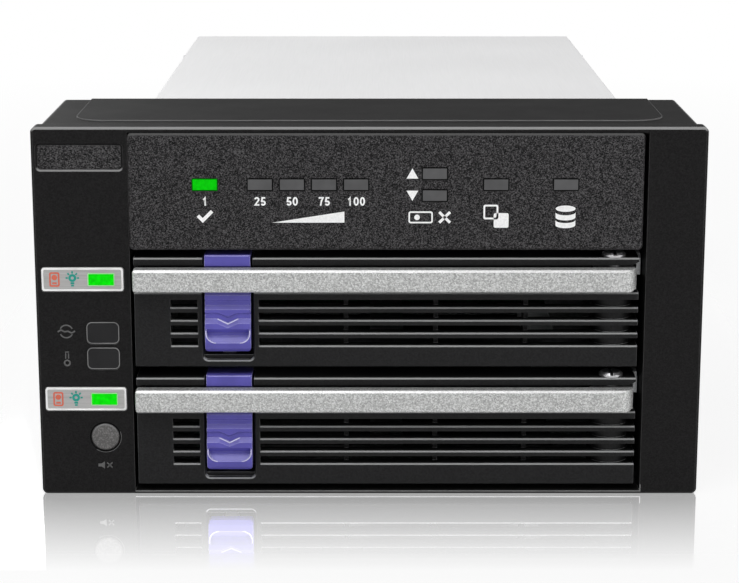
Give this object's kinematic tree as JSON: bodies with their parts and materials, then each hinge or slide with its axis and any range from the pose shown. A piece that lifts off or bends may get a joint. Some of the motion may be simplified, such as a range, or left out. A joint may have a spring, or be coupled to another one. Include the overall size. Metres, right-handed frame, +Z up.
{
  "type": "hot swap drive cage",
  "caption": "Black fronted hot swap cage for 3.5 inch drives in stacked 5.25 inch bays, with slatted sliding trays, silver lever bars, purple slide latches and status lights.",
  "frame": {"origin": "bottom centre of the whole object's box", "axes": "+X to the right seen from the front, +Y from the front to the back, +Z up"},
  "size_m": [0.149, 0.2106, 0.0845],
  "materials": {
    "bezel_black": "smooth black moulded plastic",
    "panel_grain": "spark-eroded fine grain, charcoal",
    "tray_black": "satin black moulded plastic",
    "lever_silver": "silver paint with metallic sparkle",
    "latch_purple": "satin purple plastic",
    "lens_green": "lit green light window",
    "lens_dark": "unlit smoked light window",
    "alarm_dark": "smoked window",
    "status_silver": "brushed silver plate with bright rim",
    "badge_grain": "blank grained inset",
    "button_grey": "grained grey plastic",
    "body_steel": "pale brushed zinc-plated sheet",
    "inner_steel": "zinc-plated sheet",
    "screw_zinc": "zinc-plated",
    "spring_steel": "folded spring steel leaf",
    "guide_black": "black acetal",
    "board_green": "green solder mask",
    "chip_black": "moulded epoxy",
    "sink_aluminium": "extruded fins",
    "socket_black": "black nylon",
    "socket_white": "natural nylon",
    "fan_black": "black moulded plastic"
  },
  "bodies": {
    "cage": {"front_bezel": "bezel_black", "indicator_panel": "panel_grain", "ok_lens": "lens_green", "rebuild_lenses": "lens_dark", "fault_lenses": "lens_dark", "led_board": "board_green", "badge_plate": "badge_grain", "status_plate_lower": "status_silver", "status_plate_upper": "status_silver", "status_lens_lower": "lens_green", "status_lens_upper": "lens_green", "alarm_windows": "alarm_dark", "side_board": "board_green", "mute_switch": "chip_black", "cage_shell": "body_steel", "cage_lid": "body_steel", "guide_wall_left": "guide_black", "guide_wall_right": "guide_black", "bay_bracket_left": "inner_steel", "bay_bracket_right": "inner_steel", "controller_shelf": "inner_steel", "board_standoffs": "socket_white", "controller_board": "board_green", "controller_chips": "chip_black", "heat_sink": "sink_aluminium", "backplane": "board_green", "rear_panel": "body_steel", "host_ports": "socket_black", "power_inlet": "socket_white", "fan_frame": "fan_black", "fan_screws": "screw_zinc", "cage_screws": "screw_zinc", "board_screws": "screw_zinc", "drive_connector_lower": "socket_black", "drive_connector_upper": "socket_black"},
    "tray_lower": {"tray_front_lower": "tray_black", "hinge_screw_lower": "screw_zinc", "latch_spring_lower": "spring_steel", "tray_carrier_lower": "inner_steel", "tray_rails_lower": "guide_black", "tray_screws_lower": "screw_zinc"},
    "lever_lower": {"lever_lower": "lever_silver"},
    "latch_lower": {"latch_lower": "latch_purple"},
    "tray_upper": {"tray_front_upper": "tray_black", "hinge_screw_upper": "screw_zinc", "latch_spring_upper": "spring_steel", "tray_carrier_upper": "inner_steel", "tray_rails_upper": "guide_black", "tray_screws_upper": "screw_zinc"},
    "lever_upper": {"lever_upper": "lever_silver"},
    "latch_upper": {"latch_upper": "latch_purple"},
    "mute_button": {"mute_button": "button_grey"},
    "fan_rotor": {"fan_rotor": "fan_black"}
  },
  "joints": [
    {"name": "tray_lower_slide", "type": "slide", "parent": "cage", "child": "tray_lower", "axis": [0, -1, 0], "range_m": [0, 0.135]},
    {"name": "lever_lower_hinge", "type": "hinge", "parent": "tray_lower", "child": "lever_lower", "pos_m": [0.0546, -0.0989, 0.0228], "axis": [0, 0, 1], "range_deg": [0, 85]},
    {"name": "latch_lower_slide", "type": "slide", "parent": "tray_lower", "child": "latch_lower", "axis": [0, 0, -1], "range_m": [0, 0.0011], "stiffness_N_per_m": 400, "springref_m": -0.001, "deforming": ["latch_spring_lower"]},
    {"name": "tray_upper_slide", "type": "slide", "parent": "cage", "child": "tray_upper", "axis": [0, -1, 0], "range_m": [0, 0.135]},
    {"name": "lever_upper_hinge", "type": "hinge", "parent": "tray_upper", "child": "lever_upper", "pos_m": [0.0546, -0.0989, 0.0505], "axis": [0, 0, 1], "range_deg": [0, 85]},
    {"name": "latch_upper_slide", "type": "slide", "parent": "tray_upper", "child": "latch_upper", "axis": [0, 0, -1], "range_m": [0, 0.0011], "stiffness_N_per_m": 400, "springref_m": -0.001, "deforming": ["latch_spring_upper"]},
    {"name": "mute_button_push", "type": "slide", "parent": "cage", "child": "mute_button", "axis": [0, 1, 0], "range_m": [0, 0.001], "stiffness_N_per_m": 400, "springref_m": -0.0005},
    {"name": "fan_spin", "type": "hinge", "parent": "cage", "child": "fan_rotor", "pos_m": [-0.019, 0.0943, 0.0332], "axis": [0, 1, 0], "continuous": true}
  ]
}
